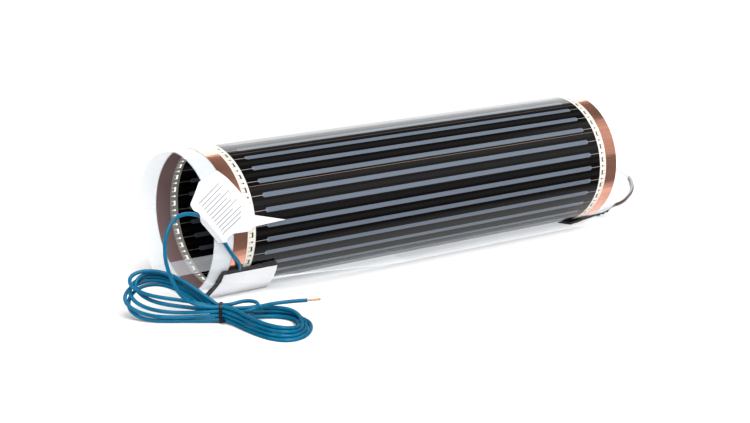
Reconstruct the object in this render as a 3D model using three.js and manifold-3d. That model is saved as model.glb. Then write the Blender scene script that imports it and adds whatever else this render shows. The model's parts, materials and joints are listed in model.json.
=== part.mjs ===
// A short roll of underfloor heating film with its two connecting leads, lying on a level surface.
// Millimetres, +Z up, X along the roll. While it is laid out, x = 0 is the film's left edge and
// y = 0 is the roll's axis; the finished group is then moved so that its origin is central.

import * as THREE from "three";
import { mergeVertices } from "three/addons/utils/BufferGeometryUtils.js";
import Module from "manifold-3d";

const wasm = await Module();
wasm.setup();

// Film
const FILM_WIDTH = 500;
const FILM_THICKNESS = 0.34;
const ROLL_RADIUS = 65;
const TURN_PITCH = 0.7;
const WOUND_DEGREES = 761;
const STEP_DEGREES = 7.5;
const FLAP_LENGTH = 36;
const FLAP_STEPS = 6;
const CURL_FULL_X = 92;
const CURL_END_X = 236;
const CURL_STEPS = 8;
const CURL_EASE = 1.4;

// What touches keeps this gap
const GAP = 0.3;

// Left connection: a sealing pad that leans on the roll, and its backing sheet
const PAD_THICKNESS = 2.4;
const LEFT_PAD_X = 11;
const LEFT_PAD_WIDTH = 63;
const LEFT_PAD_TOP_DEGREES = -29;
const LEFT_PAD_BEND_DEGREES = -50;
const LINER_THICKNESS = 0.3;
const LINER_DROP = 2.6;
const LINER_INSET = 2.5;

// Right connection: a sealing pad that lies askew on the free end, half under the roll.
// Its near corner is given from the film's right edge and the roll's axis.
const RIGHT_PAD_CORNER = [-46, -28];
const RIGHT_PAD_LENGTH = 51;
const RIGHT_PAD_DEPTH = 16;
const RIGHT_PAD_TURN_DEGREES = 15;

// Paper tag on the left front of the roll: corners in x and in degrees round the roll
const TAG_THICKNESS = 0.3;
const TAG_CORNERS = [
  [19.1, 51.7], [31.7, 31.1], [40, 17], [41.3, 11.8], [73.3, 4.3],
  [40.7, 3.1], [21, 0.4], [11.3, -2.4], [-10.6, 18.4], [-18.8, 29], [-3.5, 44.2],
];

// Leads
const LEAD_DIAMETER = 3.4;
const LEAD_SIDES = 8;
const LEAD_STEPS = 60;
const WIRE_DIAMETER = 1.8;
const WIRE_LENGTH = 11;
// From the left pad up under the tag, round a loose loop and down onto the hank
const BLUE_ROUTE = [
  [30.6, -58.8, 33.5], [29.6, -60.6, 37], [24.6, -63.6, 41.4], [17.6, -65.4, 47.4], [11.6, -66.4, 54.5],
  [6.3, -67, 62.5], [0.2, -66.9, 70.6], [-6, -66.6, 78.4], [-13.5, -66.4, 85.4], [-27.5, -67.8, 90.3],
  [-40.8, -70, 89.6], [-51.4, -73, 81.1], [-56.4, -76, 67.4], [-56.6, -79, 51.8], [-51.8, -82.4, 35.6],
  [-45.9, -81.8, 26],
];
// The free end, laid out from the tie: along the hank, across it, height
const BLUE_TAIL_ROUTE = [
  [11.5, -1, 15.3], [18, -1.6, 15.3], [26, -0.6, 15.3], [36, 5, 15.3], [45.3, 11.4, 15.3],
  [59.2, 14, 15.4], [72, 15.4, 15.4],
];
const BLUE_TAIL_STEPS = 14;
// The second lead is laid out from the film's right edge
const BROWN_ROUTE = [
  [3.1, -12.5, 1.85], [7.5, -11.4, 1.8], [14, -9.8, 1.8], [27, -5.5, 1.8], [45, 4, 1.8],
  [63, 9, 1.8], [92, 26, 1.8], [118, 45.5, 1.8], [141, 68, 1.8], [164, 96, 1.8],
  [180, 126, 1.8], [182, 147, 1.8], [169, 161, 1.8], [146, 162.5, 1.8], [123, 159, 1.8],
  [104, 155.6, 1.8],
];

// Tied hank of the blue lead: a tall left lobe, a narrow waist in the tie, a flat right lobe.
// Outlines are seen from above, along the hank and across it, with the tie at the middle.
const HANK_TIE = [-15.2, -96];
const HANK_TURN_DEGREES = -37.7;
const HANK_LEFT_OUTLINE = [
  [-9, -5.2], [-66, -5.2], [-78, 0.5], [-88, 7], [-88, 17], [-82, 25], [-70, 29], [-50, 29],
  [-28, 18], [-9, 7],
];
const HANK_LEFT_HEIGHT = 36;
const HANK_RIGHT_OUTLINE = [
  [9, 7], [14, 8.5], [22, 13], [33, 16.9], [45, 18.2], [57, 16.3], [68.5, 10.2], [76, -2.5],
  [78.7, -17], [78, -31.5], [74.6, -46], [68.8, -56.5], [60, -61.8], [49.5, -59.3],
  [39.5, -50.2], [28.7, -37.8], [18.6, -24.5], [9, -10],
];
const HANK_RIGHT_HOLE = [
  [22, -8], [26, -19], [34, -31], [44, -45], [50, -50], [56, -49], [61, -42], [64, -28],
  [64.5, -11], [62, 2], [54, 9], [45, 11], [33, 9.5], [24, 5],
];
const HANK_RIGHT_HEIGHT = 13.2;
const WAIST_LENGTH = 22;
const WAIST_WIDTH = 10.4;
const WAIST_HEIGHT = 17;
const TIE_WIDTH = 3.6;
const TIE_THICKNESS = 1.1;

// Coil of the second lead
const COIL_CENTRE = [100, 128];
const COIL_INNER_RADIUS = 14.8;
const COIL_OUTER_RADIUS = 25.8;
const COIL_HEIGHT = 21;

const COLOURS = {
  film: [0x15, 0x10, 0x12],
  mastic: [0x2a, 0x28, 0x28],
  paper: [0xf2, 0xf3, 0xf5],
  blue: [0x03, 0x6e, 0x99],
  brown: [0x4a, 0x30, 0x30],
  nylon: [0x14, 0x14, 0x16],
  copper: [0xc0, 0x7a, 0x58],
};

const radians = THREE.MathUtils.degToRad;

// Materials, one for each piece
function finish(colour, roughness, metalness) {
  const [red, green, blue] = colour;
  return new THREE.MeshStandardMaterial({
    color: new THREE.Color(red / 255, green / 255, blue / 255),
    roughness,
    metalness,
  });
}

function piece(name, geometry, material) {
  const mesh = new THREE.Mesh(geometry, material);
  mesh.name = name;
  return mesh;
}

// Solids for joining and cutting
function toSolid(geometry) {
  const bare = geometry.index ? geometry.toNonIndexed() : geometry.clone();
  bare.deleteAttribute("normal");
  bare.deleteAttribute("uv");
  const merged = mergeVertices(bare, 1e-4);
  return new wasm.Manifold(new wasm.Mesh({
    numProp: 3,
    vertProperties: new Float32Array(merged.attributes.position.array),
    triVerts: new Uint32Array(merged.index.array),
  }));
}

function fromSolid(solid) {
  const mesh = solid.getMesh();
  const geometry = new THREE.BufferGeometry();
  geometry.setAttribute("position", new THREE.BufferAttribute(new Float32Array(mesh.vertProperties), 3));
  geometry.setIndex(new THREE.BufferAttribute(new Uint32Array(mesh.triVerts), 1));
  geometry.computeVertexNormals();
  return geometry;
}

// A closed outline of [y, z] points, pulled along X from x0 to x1
function prismAlongX(outline, x0, x1) {
  const shape = new THREE.Shape(outline.map(([y, z]) => new THREE.Vector2(y, z)));
  const geometry = new THREE.ExtrudeGeometry(shape, { depth: x1 - x0, bevelEnabled: false });
  const turn = new THREE.Matrix4().makeBasis(
    new THREE.Vector3(0, 1, 0), new THREE.Vector3(0, 0, 1), new THREE.Vector3(1, 0, 0));
  geometry.applyMatrix4(turn);
  geometry.translate(x0, 0, 0);
  return geometry;
}

// A closed outline of [x, z] points, pulled along Y from y0 to y1
function prismAlongY(outline, y0, y1) {
  const shape = new THREE.Shape(outline.map(([x, z]) => new THREE.Vector2(x, z)));
  const geometry = new THREE.ExtrudeGeometry(shape, { depth: y1 - y0, bevelEnabled: false });
  geometry.rotateX(Math.PI / 2);
  geometry.translate(0, y1, 0);
  return geometry;
}

// An outline between two faces that are lists of [y, z] points in the same order
function outlineBetween(outer, inner) {
  return [...outer, ...inner.slice().reverse()];
}

// A point of the roll's section: degrees are 0 at the front, 90 at the top, -90 at the bottom
function onRoll(radius, degrees) {
  const angle = radians(degrees);
  return [-radius * Math.cos(angle), ROLL_RADIUS + radius * Math.sin(angle)];
}

// The wound sheet starts at the bottom, climbs the back and winds inwards
function woundPoint(travelled, depth) {
  const radius = ROLL_RADIUS - depth - TURN_PITCH * travelled / 360;
  const angle = radians(travelled);
  return [radius * Math.sin(angle), ROLL_RADIUS - radius * Math.cos(angle)];
}

function woundSheet() {
  const steps = Math.round(WOUND_DEGREES / STEP_DEGREES);
  const travelled = Array.from({ length: steps + 1 }, (_, i) => i * WOUND_DEGREES / steps);
  const outer = travelled.map((angle) => woundPoint(angle, 0));
  const inner = travelled.map((angle) => woundPoint(angle, FILM_THICKNESS));
  return prismAlongX(outlineBetween(outer, inner), 0, FILM_WIDTH);
}

// The free end hugs the roll on the left and flattens onto the ground towards the right
function flapCurvature(x) {
  const past = THREE.MathUtils.clamp((x - CURL_FULL_X) / (CURL_END_X - CURL_FULL_X), 0, 1);
  return Math.pow(1 - past, CURL_EASE) / ROLL_RADIUS;
}

function flapPoint(x, run, height) {
  const curvature = flapCurvature(x);
  if (curvature * FLAP_LENGTH < 1e-4) {
    return [x, -run, height];
  }
  const radius = 1 / curvature;
  const angle = run * curvature;
  return [x, -(radius - height) * Math.sin(angle), radius - (radius - height) * Math.cos(angle)];
}

// A thin sheet over a grid of stations across and steps along, with its four edges closed
function gridSheet(stations, runs, pointAt) {
  const positions = [];
  const index = [];
  const columns = stations.length;
  const rows = runs.length;
  const layer = columns * rows;
  for (const height of [0, FILM_THICKNESS]) {
    for (const run of runs) {
      for (const x of stations) {
        positions.push(...pointAt(x, run, height));
      }
    }
  }
  const quad = (a, b, c, d) => index.push(a, b, c, a, c, d);
  for (let j = 0; j + 1 < rows; j++) {
    for (let i = 0; i + 1 < columns; i++) {
      const a = j * columns + i;
      quad(a, a + 1, a + columns + 1, a + columns);
      quad(layer + a, layer + a + columns, layer + a + columns + 1, layer + a + 1);
    }
  }
  for (let i = 0; i + 1 < columns; i++) {
    const last = (rows - 1) * columns + i;
    quad(i, layer + i, layer + i + 1, i + 1);
    quad(last, last + 1, layer + last + 1, layer + last);
  }
  for (let j = 0; j + 1 < rows; j++) {
    const left = j * columns;
    const right = left + columns - 1;
    quad(left, left + columns, layer + left + columns, layer + left);
    quad(right, layer + right, layer + right + columns, right + columns);
  }
  const geometry = new THREE.BufferGeometry();
  geometry.setAttribute("position", new THREE.Float32BufferAttribute(positions, 3));
  geometry.setIndex(index);
  return geometry;
}

function freeEnd() {
  const curl = Array.from({ length: CURL_STEPS + 1 }, (_, i) =>
    CURL_FULL_X + (CURL_END_X - CURL_FULL_X) * i / CURL_STEPS);
  const runs = Array.from({ length: FLAP_STEPS + 1 }, (_, i) => FLAP_LENGTH * i / FLAP_STEPS);
  return gridSheet([0, ...curl, FILM_WIDTH], runs, flapPoint);
}

function filmRoll() {
  const film = toSolid(woundSheet()).add(toSolid(freeEnd()));
  return piece("film_roll", fromSolid(film), finish(COLOURS.film, 0.25, 0));
}

// Left pad: an arc that follows the roll, then a straight foot, so long that the backing sheet
// outside the pad stands on the ground. The free end of the film lies between it and the roll.
function leftPadFace(offset, topDegrees) {
  const radius = ROLL_RADIUS + offset;
  const steps = 5;
  const face = Array.from({ length: steps + 1 }, (_, i) =>
    onRoll(radius, topDegrees + (LEFT_PAD_BEND_DEGREES - topDegrees) * i / steps));
  const [y, z] = face[steps];
  const slope = radians(LEFT_PAD_BEND_DEGREES);
  const outside = ROLL_RADIUS + 2 * GAP + PAD_THICKNESS + LINER_THICKNESS;
  const foot = onRoll(outside, LEFT_PAD_BEND_DEGREES)[1] / Math.cos(slope);
  face.push([y - foot * Math.sin(slope), z - foot * Math.cos(slope)]);
  return face;
}

function leftPad() {
  const inner = leftPadFace(GAP, LEFT_PAD_TOP_DEGREES);
  const outer = leftPadFace(GAP + PAD_THICKNESS, LEFT_PAD_TOP_DEGREES);
  const geometry = prismAlongX(outlineBetween(inner, outer), LEFT_PAD_X, LEFT_PAD_X + LEFT_PAD_WIDTH);
  return piece("left_mastic_pad", geometry, finish(COLOURS.mastic, 0.6, 0));
}

function leftLiner() {
  const bottom = GAP + PAD_THICKNESS + GAP;
  const top = LEFT_PAD_TOP_DEGREES - THREE.MathUtils.radToDeg(LINER_DROP / ROLL_RADIUS);
  const inner = leftPadFace(bottom, top);
  const outer = leftPadFace(bottom + LINER_THICKNESS, top);
  const geometry = prismAlongX(
    outlineBetween(inner, outer), LEFT_PAD_X + LINER_INSET, LEFT_PAD_X + LEFT_PAD_WIDTH);
  return piece("left_pad_liner", geometry, finish(COLOURS.paper, 0.45, 0));
}

// Right pad: a flat plate on the free end, squashed to a wedge where the roll lies over it
function rightPad() {
  const plate = new THREE.BoxGeometry(RIGHT_PAD_LENGTH, RIGHT_PAD_DEPTH, PAD_THICKNESS);
  plate.translate(RIGHT_PAD_LENGTH / 2, RIGHT_PAD_DEPTH / 2, 0);
  plate.rotateZ(radians(RIGHT_PAD_TURN_DEGREES));
  plate.translate(
    FILM_WIDTH + RIGHT_PAD_CORNER[0], RIGHT_PAD_CORNER[1], FILM_THICKNESS + GAP + PAD_THICKNESS / 2);
  const roll = new THREE.CylinderGeometry(ROLL_RADIUS + GAP, ROLL_RADIUS + GAP, FILM_WIDTH, 144);
  roll.rotateZ(Math.PI / 2);
  roll.translate(FILM_WIDTH / 2, 0, ROLL_RADIUS);
  const pad = toSolid(plate).subtract(toSolid(roll));
  return piece("right_mastic_pad", fromSolid(pad), finish(COLOURS.mastic, 0.6, 0));
}

// Paper tag: a thin shell round the roll, trimmed to the tag's outline
function labelTag() {
  const inner = [];
  const outer = [];
  for (let degrees = -6; degrees <= 66; degrees += 6) {
    inner.push(onRoll(ROLL_RADIUS + GAP, degrees));
    outer.push(onRoll(ROLL_RADIUS + GAP + TAG_THICKNESS, degrees));
  }
  const shell = prismAlongX(outlineBetween(inner, outer), -30, 90);
  const outline = TAG_CORNERS.map(([x, degrees]) => [x, onRoll(ROLL_RADIUS + GAP, degrees)[1]]);
  const trim = prismAlongY(outline, -2 * ROLL_RADIUS, 0);
  const tag = toSolid(shell).intersect(toSolid(trim));
  return piece("label_tag", fromSolid(tag), finish(COLOURS.paper, 0.6, 0));
}

// A round cord along a smooth route
function cord(name, route, colour, steps) {
  const path = new THREE.CatmullRomCurve3(route.map((point) => new THREE.Vector3(...point)));
  const section = new THREE.Shape();
  for (let i = 0; i < LEAD_SIDES; i++) {
    const angle = 2 * Math.PI * i / LEAD_SIDES;
    const x = LEAD_DIAMETER / 2 * Math.cos(angle);
    const y = LEAD_DIAMETER / 2 * Math.sin(angle);
    if (i === 0) {
      section.moveTo(x, y);
    } else {
      section.lineTo(x, y);
    }
  }
  section.closePath();
  const geometry = new THREE.ExtrudeGeometry(section, { steps, extrudePath: path, bevelEnabled: false });
  return piece(name, geometry, finish(colour, 0.4, 0));
}

// The bare end of a lead, in line with the last stretch from one point to the next
function wireEnd(name, from, to) {
  const start = new THREE.Vector3(...from);
  const direction = new THREE.Vector3(...to).sub(start).normalize();
  const geometry = new THREE.CylinderGeometry(WIRE_DIAMETER / 2, WIRE_DIAMETER / 2, WIRE_LENGTH, LEAD_SIDES);
  geometry.rotateX(Math.PI / 2);
  const mesh = piece(name, geometry, finish(COLOURS.copper, 0.35, 1));
  mesh.quaternion.setFromUnitVectors(new THREE.Vector3(0, 0, 1), direction);
  mesh.position.copy(start).addScaledVector(direction, GAP + WIRE_LENGTH / 2);
  return mesh;
}

// An upright block with the given plan, and a hole through it where one is given
function planBlock(outline, height, hole) {
  const shape = new THREE.Shape(outline.map(([x, y]) => new THREE.Vector2(x, y)));
  if (hole) {
    shape.holes.push(new THREE.Path(hole.map(([x, y]) => new THREE.Vector2(x, y))));
  }
  return new THREE.ExtrudeGeometry(shape, { depth: height, bevelEnabled: false });
}

function block(length, width, height, z0) {
  const geometry = new THREE.BoxGeometry(length, width, height);
  geometry.translate(0, 0, z0 + height / 2);
  return geometry;
}

// A strap that goes once round a bundle; it is open from end to end along X
function strap(width, height, z0) {
  const clear = 2 * (GAP + TIE_THICKNESS);
  const outer = toSolid(block(TIE_WIDTH, width + clear, height + clear, z0));
  const inner = toSolid(block(2 * TIE_WIDTH, width + 2 * GAP, height + 2 * GAP, z0 + TIE_THICKNESS));
  return outer.subtract(inner);
}

// The slot under a bundle in which its strap lies
function strapSlot(width) {
  return toSolid(block(TIE_WIDTH + 2 * GAP, width, TIE_THICKNESS + 2 * GAP, -GAP));
}

function hankPieces() {
  const lift = TIE_THICKNESS + GAP;
  const waist = toSolid(block(WAIST_LENGTH, WAIST_WIDTH, WAIST_HEIGHT, 0));
  const left = toSolid(planBlock(HANK_LEFT_OUTLINE, HANK_LEFT_HEIGHT));
  const right = toSolid(planBlock(HANK_RIGHT_OUTLINE, HANK_RIGHT_HEIGHT, HANK_RIGHT_HOLE));
  const solid = waist.add(left).add(right).subtract(strapSlot(2 * WAIST_WIDTH));
  const band = strap(WAIST_WIDTH, WAIST_HEIGHT - lift, 0);
  const tail = BLUE_TAIL_ROUTE.at(-1);
  const beyond = tail.map((value, i) => 2 * value - BLUE_TAIL_ROUTE.at(-2)[i]);
  const group = new THREE.Group();
  group.add(
    piece("blue_hank", fromSolid(solid), finish(COLOURS.blue, 0.4, 0)),
    piece("blue_cable_tie", fromSolid(band), finish(COLOURS.nylon, 0.4, 0)),
    cord("blue_lead_end", BLUE_TAIL_ROUTE, COLOURS.blue, BLUE_TAIL_STEPS),
    wireEnd("blue_wire_end", tail, beyond),
  );
  group.rotation.z = radians(HANK_TURN_DEGREES);
  group.position.set(...HANK_TIE, 0);
  return group;
}

// A ring of turns, its tie at the front, and its bare end leaving straight on from the top turn
function coilPieces() {
  const profile = [
    [COIL_INNER_RADIUS, 0], [COIL_OUTER_RADIUS, 0], [COIL_OUTER_RADIUS, COIL_HEIGHT],
    [COIL_INNER_RADIUS, COIL_HEIGHT], [COIL_INNER_RADIUS, 0],
  ].map(([radius, height]) => new THREE.Vector2(radius, height));
  const ring = new THREE.LatheGeometry(profile, 32);
  ring.rotateX(Math.PI / 2);
  const lift = TIE_THICKNESS + GAP;
  const width = COIL_OUTER_RADIUS - COIL_INNER_RADIUS;
  const middle = (COIL_OUTER_RADIUS + COIL_INNER_RADIUS) / 2;
  const solid = toSolid(ring).subtract(strapSlot(2 * width).translate([0, -middle, 0]));
  const band = strap(width, COIL_HEIGHT - lift, 0).translate([0, -middle, 0]);
  const turnRadius = COIL_OUTER_RADIUS - LEAD_DIAMETER / 2;
  const leave = Math.sqrt((COIL_OUTER_RADIUS + GAP) ** 2 - (turnRadius - WIRE_DIAMETER / 2) ** 2) - GAP;
  const end = [turnRadius, leave, COIL_HEIGHT - LEAD_DIAMETER / 2];
  const group = new THREE.Group();
  group.add(
    piece("brown_coil", fromSolid(solid), finish(COLOURS.brown, 0.4, 0)),
    piece("brown_cable_tie", fromSolid(band), finish(COLOURS.nylon, 0.4, 0)),
    wireEnd("brown_wire_end", end, [end[0], end[1] + WIRE_LENGTH, end[2]]),
  );
  group.position.set(...COIL_CENTRE, 0);
  return group;
}

const fromRightEdge = new THREE.Group();
fromRightEdge.position.x = FILM_WIDTH;
fromRightEdge.add(
  cord("brown_lead", BROWN_ROUTE, COLOURS.brown, LEAD_STEPS),
  coilPieces(),
);

const group = new THREE.Group();
group.add(
  filmRoll(),
  leftPad(),
  leftLiner(),
  rightPad(),
  labelTag(),
  cord("blue_lead", BLUE_ROUTE, COLOURS.blue, LEAD_STEPS),
  hankPieces(),
  fromRightEdge,
);

// The origin is under the middle of the film and its pads. The wound sheet reaches a little
// further back than forward, because it winds inwards from the bottom by way of the back.
const padReach = FILM_WIDTH + RIGHT_PAD_CORNER[0] + RIGHT_PAD_LENGTH * Math.cos(radians(RIGHT_PAD_TURN_DEGREES));
group.position.set(-padReach / 2, -TURN_PITCH / 4, 0);

export default group;
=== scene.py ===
import json
import math

import bmesh
import bpy
import numpy as np
from mathutils import Euler, Matrix, Vector
from mathutils.geometry import interpolate_bezier

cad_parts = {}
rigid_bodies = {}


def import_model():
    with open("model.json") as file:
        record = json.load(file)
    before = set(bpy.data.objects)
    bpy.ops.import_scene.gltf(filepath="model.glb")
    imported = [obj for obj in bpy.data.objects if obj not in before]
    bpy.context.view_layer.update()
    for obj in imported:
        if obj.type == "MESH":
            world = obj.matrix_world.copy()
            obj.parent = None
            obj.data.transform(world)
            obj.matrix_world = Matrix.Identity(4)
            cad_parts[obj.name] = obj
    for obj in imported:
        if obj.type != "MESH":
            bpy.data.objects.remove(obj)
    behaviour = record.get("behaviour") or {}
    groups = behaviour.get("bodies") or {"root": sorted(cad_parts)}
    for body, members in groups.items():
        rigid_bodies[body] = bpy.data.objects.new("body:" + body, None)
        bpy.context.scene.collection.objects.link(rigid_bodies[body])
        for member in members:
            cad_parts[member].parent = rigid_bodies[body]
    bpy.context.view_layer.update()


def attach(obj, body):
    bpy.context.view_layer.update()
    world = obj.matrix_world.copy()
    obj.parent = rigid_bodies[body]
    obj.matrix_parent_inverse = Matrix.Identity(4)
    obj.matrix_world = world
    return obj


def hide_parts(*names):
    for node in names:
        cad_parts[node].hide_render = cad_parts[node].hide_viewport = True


bl_info = {
    "name": "Underfloor heating film",
    "version": (1, 0, 0),
    "blender": (4, 5, 0),
    "location": "3D View > Sidebar > Heating film",
    "description": "A short roll of heating film with two leads, in its looks",
    "category": "Object",
}

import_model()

# Lengths are laid out in millimetres: x from the film's left edge, y from the roll's axis
ORIGIN = Vector((251.631, 0.175, 0.0))
MM = 0.001

ROLL_RADIUS = 65.0
TURN_PITCH = 0.7
WOUND_DEGREES = 761.0
CURL_FULL_X = 92.0
CURL_END_X = 236.0
CURL_EASE = 1.4
GAP = 0.3

LEAD_DIAMETER = 3.4
WIRE_LENGTH = 11.0
HANK_TIE = (-15.2, -96.0)
HANK_TURN = math.radians(-37.7)
COIL_CENTRE = (600.0, 128.0)
COIL_OUTER_RADIUS = 25.8
COIL_INNER_RADIUS = 14.8
COIL_HEIGHT = 21.0

# Camera: its place in layout millimetres, its angles in radians, its focal length in pixels
CAMERA_PLACE = (-801.536, -1325.435, 441.309)
CAMERA_DOWN = 0.233389
CAMERA_TURN = -0.657737
FOCAL_PIXELS = 1801.537
PHOTO_WIDTH = 750


def at(x, y, z):
    """A layout point in millimetres, as a point of the shared frame in metres."""
    return (Vector((x, y, z)) - ORIGIN) * MM


def on_roll(radius, degrees):
    """The y and z of a point of the roll's section: 0 is the front, 90 the top."""
    angle = math.radians(degrees)
    return -radius * math.cos(angle), ROLL_RADIUS + radius * math.sin(angle)


def from_hank(a, b, z):
    """A point laid out from the hank's tie: along the hank, across it, height."""
    c = math.cos(HANK_TURN)
    s = math.sin(HANK_TURN)
    return (HANK_TIE[0] + a * c - b * s, HANK_TIE[1] + a * s + b * c, z)


# Settings


def colour_setting(name, text, default):
    return bpy.props.FloatVectorProperty(
        name=name, description=text, subtype="COLOR", size=3, default=default, min=0, max=1)


def length_setting(name, text, default):
    return bpy.props.FloatProperty(
        name=name, description=text, default=default, min=0, unit="LENGTH")


def power_setting(name, text, default):
    return bpy.props.FloatProperty(name=name, description=text, default=default, min=0)


class FilmSettings(bpy.types.PropertyGroup):
    width: length_setting("Width", "Width of the film", 0.5)
    thickness: length_setting("Thickness", "Thickness of the film", 0.00034)
    flap: length_setting("Free end", "Length of the free end on the floor", 0.036)
    pitch: length_setting(
        "Stripe pitch", "From one slot between carbon stripes to the next", 0.01325)
    carbon: colour_setting("Carbon", "Colour of the carbon stripes", (0.0024, 0.0016, 0.0014))
    slots: colour_setting("Slots", "Colour of the slots between stripes", (0.122, 0.146, 0.184))
    copper: colour_setting("Copper", "Colour of the copper strips", (0.8, 0.38, 0.27))
    silver: colour_setting("Silver", "Colour of the silver strips", (0.76, 0.72, 0.64))
    margin: colour_setting("Margin", "Colour of the milky clear margins", (0.9, 0.94, 0.98))


class LeadSettings(bpy.types.PropertyGroup):
    diameter: length_setting("Diameter", "Diameter of a lead", 0.0034)
    blue: colour_setting("First lead", "Colour of the left lead", (0.0001, 0.125, 0.24))
    brown: colour_setting("Second lead", "Colour of the right lead", (0.07, 0.032, 0.028))
    nylon: colour_setting("Ties", "Colour of the cable ties", (0.008, 0.008, 0.009))
    wire: colour_setting("Wires", "Colour of the bare wires", (0.72, 0.36, 0.2))


class ConnectionSettings(bpy.types.PropertyGroup):
    mastic: colour_setting("Mastic", "Colour of the sealing pads", (0.012, 0.011, 0.011))
    paper: colour_setting("Paper", "Colour of the backing sheet and the tag", (0.8, 0.81, 0.83))
    pad_thickness: length_setting("Pad thickness", "Thickness of a sealing pad", 0.0024)


class StageSettings(bpy.types.PropertyGroup):
    floor: colour_setting("Floor", "Colour of the floor", (0.97, 0.97, 0.97))
    key: power_setting("Overhead light", "Strength of the soft light overhead", 4.0)
    back: power_setting("Back light", "Power of the soft box behind the roll", 33.0)
    front: power_setting("Front light", "Power of the soft box in front", 3.4)
    fill: power_setting("Fill", "Power of the fill light that casts no highlights", 3.0)


# Making helpers


def deselect_all():
    if bpy.context.object and bpy.context.object.mode != "OBJECT":
        bpy.ops.object.mode_set(mode="OBJECT")
    bpy.ops.object.select_all(action="DESELECT")


def only(obj):
    deselect_all()
    obj.select_set(True)
    bpy.context.view_layer.objects.active = obj


def new_object(name, data):
    obj = bpy.data.objects.new(name, data)
    bpy.context.scene.collection.objects.link(obj)
    return obj


def named(name, material):
    """The active object, named, with its place in its mesh and one material."""
    obj = bpy.context.object
    obj.name = name
    obj.data.name = name
    only(obj)
    bpy.ops.object.transform_apply(location=True, rotation=True, scale=True)
    obj.data.materials.clear()
    obj.data.materials.append(material)
    return obj


def apply_all(obj):
    only(obj)
    for modifier in list(obj.modifiers):
        bpy.ops.object.modifier_apply(modifier=modifier.name)


def bevelled(obj, width, degrees=30):
    """Applies what the object already has, and a small bevel."""
    bevel = obj.modifiers.new("edges", "BEVEL")
    bevel.width = width
    bevel.segments = 2
    bevel.angle_limit = math.radians(degrees)
    apply_all(obj)


def walled(obj, thickness, offset):
    wall = obj.modifiers.new("wall", "SOLIDIFY")
    wall.thickness = thickness
    wall.offset = offset
    return wall


def box(name, material, place, size, turned=(0, 0, 0)):
    deselect_all()
    bpy.ops.mesh.primitive_cube_add(size=1, location=place, rotation=turned)
    bpy.context.object.scale = size
    return named(name, material)


def object_from(mesh, name, material):
    """A new object of a finished bmesh."""
    data = bpy.data.meshes.new(name)
    mesh.to_mesh(data)
    mesh.free()
    data.materials.append(material)
    return new_object(name, data)


def loft(mesh, rows):
    """A closed tube through rings of layout points."""
    rings = [[mesh.verts.new(at(*point)) for point in row] for row in rows]
    sides = len(rings[0])
    for a, b in zip(rings, rings[1:]):
        for k in range(sides):
            m = (k + 1) % sides
            mesh.faces.new((a[k], a[m], b[m], b[k]))
    mesh.faces.new(rings[0][::-1])
    mesh.faces.new(rings[-1])
    bmesh.ops.recalc_face_normals(mesh, faces=mesh.faces)


def join(first, *others):
    only(first)
    for other in others:
        other.select_set(True)
    bpy.ops.object.join()


def smooth(obj, degrees=35):
    only(obj)
    bpy.ops.object.shade_smooth_by_angle(angle=math.radians(degrees))


def finish_piece(obj, slot, *nodes):
    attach(obj, "root")
    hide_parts(*nodes)


class Tree:
    """Adds nodes to a material or a group, and links what it is given."""

    def __init__(self, tree):
        self.tree = tree

    def put(self, target, value):
        if isinstance(value, bpy.types.NodeSocket):
            self.tree.links.new(value, target)
        elif value is not None:
            if hasattr(target.default_value, "__len__") and len(target.default_value) == 4:
                value = (*value[:3], 1.0)
            target.default_value = value

    def node(self, kind, inputs=None, **settings):
        made = self.tree.nodes.new(kind)
        for key, value in settings.items():
            setattr(made, key, value)
        for key, value in (inputs or {}).items():
            self.put(made.inputs[key], value)
        return made

    def math(self, operation, a, b=None, c=None, clamp=False):
        made = self.node("ShaderNodeMath", operation=operation, use_clamp=clamp)
        for socket, value in zip(made.inputs, (a, b, c)):
            self.put(socket, value)
        return made.outputs[0]

    def above(self, value, low, soft):
        """1 above a limit and 0 below it, with a soft edge."""
        return self.math("DIVIDE", self.minus(value, low - soft / 2), soft, clamp=True)

    def below(self, value, high, soft):
        return self.math("DIVIDE", self.minus(high + soft / 2, value), soft, clamp=True)

    def band(self, value, low, high, soft):
        return self.both(self.above(value, low, soft), self.below(value, high, soft))

    def mix(self, factor, a, b):
        made = self.node("ShaderNodeMix", data_type="RGBA")
        self.put(made.inputs["Factor"], factor)
        self.put(made.inputs[6], a)
        self.put(made.inputs[7], b)
        return made.outputs[2]

    def blend(self, factor, a, b):
        made = self.node("ShaderNodeMix", data_type="FLOAT")
        self.put(made.inputs["Factor"], factor)
        self.put(made.inputs[2], a)
        self.put(made.inputs[3], b)
        return made.outputs[0]

    def noise(self, vector, scale, detail=2.0, roughness=0.5):
        made = self.node(
            "ShaderNodeTexNoise",
            {"Vector": vector, "Scale": scale, "Detail": detail, "Roughness": roughness})
        return made.outputs["Fac"]

    def ramp(self, value, low, high, a=0.0, b=1.0):
        made = self.node(
            "ShaderNodeMapRange",
            {"Value": value, "From Min": low, "From Max": high, "To Min": a, "To Max": b})
        return made.outputs["Result"]

    def scaled(self, vector, x, y, z):
        made = self.node("ShaderNodeMapping", {"Vector": vector, "Scale": (x, y, z)})
        return made.outputs["Vector"]

    def place(self):
        return self.node("ShaderNodeTexCoord").outputs["Object"]

    def spread(self, noise, a, b):
        """From a to b over the range that a noise mostly keeps to."""
        return self.ramp(noise, 0.3, 0.7, a, b)

    def both(self, a, b):
        return self.math("MULTIPLY", a, b)

    def minus(self, a, b):
        return self.math("SUBTRACT", a, b)

    def larger(self, a, b):
        return self.math("MAXIMUM", a, b)

    def lighter(self, colour, factor):
        """The colour, made lighter or darker by a factor."""
        made = self.node("ShaderNodeHueSaturation", {"Color": colour, "Value": factor})
        return made.outputs[0]

    def bumped(self, shader, height, strength, distance):
        bump = self.node(
            "ShaderNodeBump", {"Height": height, "Strength": strength, "Distance": distance})
        self.put(shader.inputs["Normal"], bump.outputs[0])


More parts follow.
